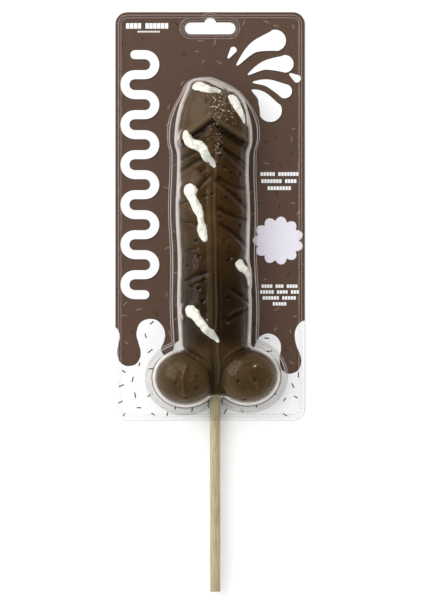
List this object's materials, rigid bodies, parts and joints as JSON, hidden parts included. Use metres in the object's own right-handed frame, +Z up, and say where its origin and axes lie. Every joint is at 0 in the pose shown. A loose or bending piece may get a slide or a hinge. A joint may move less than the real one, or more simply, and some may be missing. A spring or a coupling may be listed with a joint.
{
  "type": "penis lollipop",
  "caption": "Chocolate-flavoured novelty lollipop in the shape of a penis, with white icing drips and a wooden stick, sealed under a clear formed film on a printed hanging card.",
  "frame": {"origin": "middle of the whole length and width, on the card's back face, where the pack lies on a table", "axes": "+X across the card, +Y from the stick towards the hang slot, +Z up out of the printed face"},
  "size_m": [0.118, 0.3604, 0.03],
  "materials": {
    "card": "satin",
    "print_white": "satin",
    "film": "gloss",
    "candy": "gloss",
    "icing": "satin",
    "stick": "matte"
  },
  "bodies": {
    "root": {"card": "card", "film": "film", "candy": "candy", "stick": "stick"}
  },
  "joints": []
}
